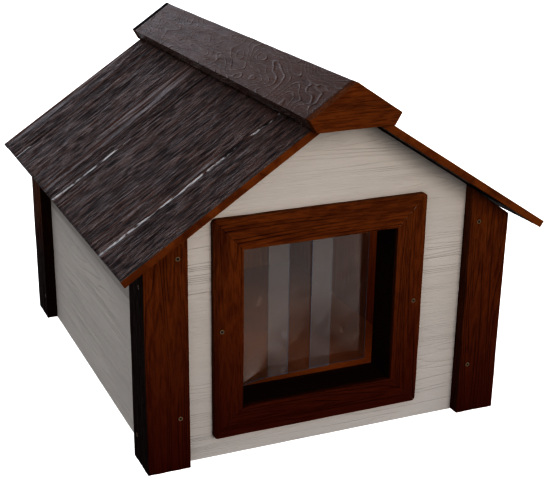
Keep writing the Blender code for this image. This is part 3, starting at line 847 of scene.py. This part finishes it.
def make_cap_ends(material):
    for end in ("front", "back"):
        node = f"ridge_end_{end}"
        low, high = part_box(node)
        half, foot, foot_z, edge_z, top = high.x, CAP_FOOT_HALF, low.z, CAP_EDGE_Z, high.z

        def place(points, half=half, low=low, foot_z=foot_z, top=top):
            x = points[:, 0] - half
            upper = top - (top - edge_z) * np.abs(x) / half
            lower = foot_z + (edge_z - foot_z) * np.clip((np.abs(x) - foot) / (half - foot), 0, 1)
            upper = np.maximum(upper, lower + 0.0004)
            z = lower + (upper - lower) * points[:, 1] / (top - foot_z)
            return np.column_stack([x, low.y + points[:, 2], z])

        obj = board(
            node.replace("ridge_end", "cap_end"), (2 * half, top - foot_z, high.y - low.y), (0.004, 0.0022, 0.006),
            place, material, (1, 0, 0), 0.0012, corner=0.0014,
            extra=([half - foot, half, half + foot], (), ()), seed=61,
            # painted shade: the top few millimetres of the back cap end are painted near black
            marks=None if end == "front" else (lambda points, tall=top - foot_z: {
                "shade": np.clip((points[:, 1] - tall + 0.003) / 0.001, 0, 1)}),
        )
        replace(obj, node, "roof")


def make_door_frame(materials):
    boxes = {name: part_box(f"door_frame_{name}") for name in ("top", "bottom", "left", "right")}
    ox0, ox1 = boxes["left"][0].x, boxes["right"][1].x
    oz0, oz1 = boxes["bottom"][0].z, boxes["top"][1].z
    ix0, ix1 = boxes["left"][1].x, boxes["right"][0].x
    iz0, iz1 = boxes["bottom"][1].z, boxes["top"][0].z
    front, back = boxes["top"][0].y, boxes["top"][1].y
    cut, radius = 0.0002, 0.010
    outlines = {
        "top": ([(ox0 + cut, oz1), (ox1 - cut, oz1), (ix1 - cut, iz1), (ix0 + cut, iz1)], (1, 0, 0)),
        "bottom": ([(ox0 + cut, oz0), (ox1 - cut, oz0), (ix1 - cut, iz0), (ix0 + cut, iz0)], (1, 0, 0)),
        "left": ([(ox0, oz0 + cut), (ox0, oz1 - cut), (ix0, iz1 - cut), (ix0, iz0 + cut)], (0, 0, 1)),
        "right": ([(ox1, oz0 + cut), (ox1, oz1 - cut), (ix1, iz1 - cut), (ix1, iz0 + cut)], (0, 0, 1)),
    }
    for name, (corners, along) in outlines.items():
        place, (length, _) = quad_shape(corners, front)
        width = (abs(ox0 - ix0) if along[2] else abs(oz1 - iz1))
        corner_ratio = np.linalg.norm(np.array(corners[3]) - np.array(corners[0])) / width

        def rounded(points, place=place, corner_ratio=corner_ratio):
            points = points.copy()
            points[:, 1] *= corner_ratio
            placed = place(points)
            for cx, sx in ((ox0 + radius, -1), (ox1 - radius, 1)):
                for cz, sz in ((oz0 + radius, -1), (oz1 - radius, 1)):
                    off = placed[:, [0, 2]] - (cx, cz)
                    far = np.linalg.norm(off, axis=1)
                    out = (off[:, 0] * sx > 0) & (off[:, 1] * sz > 0) & (far > radius)
                    scale = np.where(out, radius / np.maximum(far, 1e-9), 1)
                    placed[:, 0] = cx + off[:, 0] * scale
                    placed[:, 2] = cz + off[:, 1] * scale
            return placed

        held = [n for n in (f"screw_door_{name}",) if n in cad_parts]
        heights = [middle_of(n).z - oz0 for n in held]
        acrosses = [min(abs(middle_of(n).x - ox0), abs(middle_of(n).x - ox1)) for n in held]
        near_end = (0.003, 0.006, 0.009, 0.0125)
        ends = [*near_end, *(length - e for e in near_end)]
        obj = board(
            f"frame_board_{name}", (length, width, back - front), (0.008, 0.0022, 0.0045), rounded,
            materials[0 if along[0] else 1], along, 0.0015, coarse=0.8, corner=0.0009, butt=True,
            seed=71 + len(name),
            extra=([*ends, *lines_round(heights, length)], lines_round(acrosses, width), ()),
            dent=screw_dents(held), marks=(lambda points, length=length: {
                "bare": 0.5 * np.clip(1 - (length - points[:, 0]) / 0.0012, 0, 1)}) if name == "right" else None,
        )
        replace(obj, f"door_frame_{name}", "house")


def hang(x, z, low, high):
    """How far the curtain stands out of its plane: shallow waves, and a corner that curls outwards."""
    down = np.clip((0.395 - z) / (0.395 - low), 0, 1)
    wave = 0.0010 * np.sin(x * 24 + 0.6) * down
    curl = np.clip((-0.085 - x) / 0.10, 0, 1) ** 1.6 * np.clip((0.235 - z) / 0.115, 0, 1) ** 2
    return wave - 0.019 * curl


def make_strips(material):
    lowest = min(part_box(f"strip_{name}")[0].z for name in STRIPS)
    for name in STRIPS:
        node = f"strip_{name}"
        low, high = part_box(node)
        size = tuple(high - low)
        others = [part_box(f"strip_{other}") for other in STRIPS if other != name]
        laps = [corner.x - low.x for pair in others for corner in pair if low.x < corner.x < high.x]
        laps += [lap + step for lap in laps for step in (-0.0007, 0.0007)]
        grid = [lines(size[0], 0.006, 0.0008, laps), np.array([0, size[1]]), lines(size[2], 0.008, 0.0008)]
        points, faces = skin(*grid)
        placed = points + np.array(low)
        placed[:, 1] += hang(placed[:, 0], placed[:, 2], lowest, high.z)
        drop = np.clip((-0.10 - placed[:, 0]) / 0.08, 0, 1) * np.clip((0.20 - placed[:, 2]) / 0.08, 0, 1)
        placed[:, 2] -= 0.004 * drop
        border = np.minimum(np.minimum(points[:, 0], size[0] - points[:, 0]),
                            np.minimum(points[:, 2], size[2] - points[:, 2]))
        x = points[:, 0] + low.x
        double = np.max([(x > a.x - 1e-5) & (x < b.x + 1e-5) for a, b in others], axis=0).astype(float)
        obj = make_mesh(f"clear_{node}", placed, faces, material,
                        {"edge": np.clip(1 - border / 0.0006, 0, 1), "double": double})
        layer = obj.data.uv_layers.new(name="UVMap")
        loops = np.zeros(len(obj.data.loops), int)
        obj.data.loops.foreach_get("vertex_index", loops)
        flat = np.column_stack([x, points[:, 2]])[loops]
        layer.data.foreach_set("uv", (flat * UV_PER_METRE).astype(np.float32).ravel())
        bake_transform(obj)
        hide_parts(node)


def make_screws(material):
    """Countersunk heads with a cross recess, one for each CAD screw."""
    names = [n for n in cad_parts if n.startswith("screw_")]
    for name in sorted(names):
        low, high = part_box(name)
        size, outward = high - low, outward_of(name)
        length, radius = max(size), sorted(size)[1] / 2
        top = middle_of(name) + outward * length / 2
        obj = screw_head(f"head_of_{name}", radius, length, material, seed=sum(map(ord, name)))
        obj.matrix_world = Matrix.Translation(top) @ outward.to_track_quat("Z", "Y").to_matrix().to_4x4()
        obj.data.transform(obj.matrix_world)
        obj.matrix_world = Matrix.Identity(4)
        replace(obj, name, "house")


def screw_head(name, radius, length, material, seed):
    """Head at z 0 pointing up, with a turned cross recess, and a tapering body below."""
    n = 15
    t = np.linspace(-1, 1, n)
    a, b = np.meshgrid(t, t, indexing="ij")
    disc = np.column_stack([(a * np.sqrt(1 - b * b / 2)).ravel(), (b * np.sqrt(1 - a * a / 2)).ravel()]) * radius
    far = np.linalg.norm(disc, axis=1) / radius
    turn = (seed * 0.7) % math.pi
    x = disc @ (math.cos(turn), math.sin(turn)) / radius
    y = disc @ (-math.sin(turn), math.cos(turn)) / radius
    arm = np.minimum(np.maximum(np.abs(x) * 4.2, np.abs(y) * 1.55), np.maximum(np.abs(y) * 4.2, np.abs(x) * 1.55))
    recess = np.clip((1.0 - arm) / 0.35, 0, 1)
    z = -0.0009 * recess * (1.3 - far) - 0.00025 * np.clip((far - 0.82) / 0.18, 0, 1)
    index = np.arange(n * n).reshape(n, n)
    faces = [(index[i, j], index[i + 1, j], index[i + 1, j + 1], index[i, j + 1])
             for i in range(n - 1) for j in range(n - 1)]
    rim = [*index[:, 0], *index[-1, 1:], *index[-2::-1, -1], *index[0, -2:0:-1]]
    points = [(*p, h) for p, h in zip(disc, z)]
    rings = [rim]
    for share, depth in ((0.47, -0.0032), (0.42, -length * 0.8), (0.05, -length * 0.99)):
        start = len(points)
        points += [(points[i][0] * share, points[i][1] * share, depth) for i in rim]
        rings.append(list(range(start, len(points))))
    for upper, lower in zip(rings, rings[1:]):
        for k in range(len(upper)):
            m = (k + 1) % len(upper)
            faces.append((upper[m], upper[k], lower[k], lower[m]))
    tip = len(points)
    points.append((0, 0, -length))
    for k in range(len(rings[-1])):
        faces.append((rings[-1][(k + 1) % len(rim)], rings[-1][k], tip))
    mesh = bpy.data.meshes.new(name)
    mesh.from_pydata([tuple(map(float, p)) for p in points], [], [tuple(map(int, f)) for f in faces])
    mesh.materials.append(material)
    body = len(points) - n * n
    for key, values in (("cavity", recess), ("edge", np.clip((far - 0.70) / 0.2, 0, 1))):
        filled = np.concatenate([values, np.zeros(body)]).astype(np.float32)
        mesh.attributes.new(key, "FLOAT", "POINT").data.foreach_set("value", filled)
    obj = bpy.data.objects.new(name, mesh)
    bpy.context.scene.collection.objects.link(obj)
    flip_if_inside_out(obj)
    return obj


def paint_cad_nodes(materials):
    for node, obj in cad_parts.items():
        for key, material in materials.items():
            if node.startswith(key):
                obj.data.materials.clear()
                obj.data.materials.append(material)


# ---------------------------------------------------------------- build

make_camera()
make_world()
make_floor()
make_sun("key", (-0.10, 1.0, -0.30), 1.22, 35, (1.0, 0.965, 0.925))
make_sun("fill_left", (1.0, 0.25, -0.22), 0.27, 60, (1.0, 0.985, 0.955))
make_sun("overhead", (0.50, 0.05, -1.0), 0.30, 7, (1.0, 0.985, 0.965))
make_sun("fill_right", (-1.0, 0.12, -0.22), 0.42, 60, (1.0, 0.985, 0.955))
make_sun("fill_back", (0.05, -1.0, -0.22), 0.55, 60, (1.0, 0.985, 0.955))
make_lamp("indoors", (0.10, -0.18, 0.50), 0.26, 0.25, (1.0, 0.82, 0.62))
bpy.context.scene.view_settings.view_transform = "Standard"
bpy.context.scene.view_settings.look = "Very High Contrast"

# In the paints below, foot and low paint shade that darkens towards the ground, and the hollow and stain settings
# paint shade into the sunken relief and the lows of the grain.
TRIM = dict(colour=(0.156, 0.0515, 0.0108), deep=(0.035, 0.006, 0.002), pale=(0.17, 0.062, 0.024),
            specular=0.11, relief=0.0022, coarse=0.8, foot=0.95, low=(0.046, 0.0050, 0.0010), stain_and_pit_shade=0.35,
            hollow_shade=0.6, fibres=(42, 300), figure=(0.8, 19, 24), line_tone=0.32, line_depth=0.9)
BEIGE = dict(colour=(0.485, 0.437, 0.392), deep=(0.36, 0.31, 0.265), pale=(0.54, 0.49, 0.44), specular=0.2,
             rough=(0.55, 0.75), wear=0.2, stain_and_pit_shade=0.06, hollow_shade=0.12, figure=(1.1, 27, 14), line_tone=0.20,
             foot=0.9, low=(0.375, 0.345, 0.320), relief=0.0009)
ROOFING = dict(colour=(0.086, 0.034, 0.017), deep=(0.014, 0.0035, 0.0015), pale=(0.12, 0.068, 0.052),
               specular=0.8, rough=(0.15, 0.32), wear=0.15)

trim_x = painted_wood("trim_paint_across", grain="x", **TRIM)
trim_z = painted_wood("trim_paint_upright", grain="z", **TRIM)
beige_front = painted_wood("siding_paint_front", grain="x", **BEIGE)
beige_side = painted_wood("siding_paint_side", grain="y", **{**BEIGE, "foot": 0.3, "relief": 0.0012})
roof_paints = [
    (painted_wood(f"roof_paint_{side}", grain="x", turn=turn, relief=0.0060, coarse=0.7, stain_and_pit_shade=1.0, hollow_shade=0.9,
                  figure=(0.7, 9, 10), line_tone=0.6, line_depth=0.25, fibres=(58, 250), calm=0.85, **ROOFING),
     painted_wood(f"rim_paint_{side}", grain="x", turn=turn, **{**TRIM, "foot": 0, "relief": 0.0012}))
    for side, turn in (("left", -PITCH), ("right", PITCH))]
cap_paint = painted_wood("cap_paint", grain="y", relief=0.0016, coarse=0.8, stain_and_pit_shade=0.1, hollow_shade=0.35,
                         figure=(6.0, 13, 20), line_tone=0.0, line_depth=-0.7, **{**ROOFING, "specular": 0.6})
ply_x = raw_wood("liner_ply", (0.52, 0.225, 0.075), (0.31, 0.125, 0.036), "z")
pine = raw_wood("joist_pine", (0.42, 0.28, 0.15), (0.25, 0.14, 0.065), "y")
dark = painted_wood("doorway_paint", (0.028, 0.0085, 0.0045), (0.012, 0.003, 0.0015), (0.05, 0.018, 0.010),
                    "x", specular=0.15, relief=0.0003)
clear = strip_plastic("clear_pvc")
steel = screw_metal("screw_steel")

make_posts(trim_z)
make_siding(beige_front, beige_side)
make_roof(*roof_paints, cap_paint)
make_cap_ends(trim_x)
make_door_frame((trim_x, trim_z))
make_strips(clear)
make_screws(steel)
paint_cad_nodes({
    "liner": ply_x, "floor_deck": ply_x, "floor_joist": pine, "ridge_beam": pine, "roof_cleat": pine,
    "doorway": dark, "strip_clamp_bar": dark, "insulation": foam("bead_foam"),
})
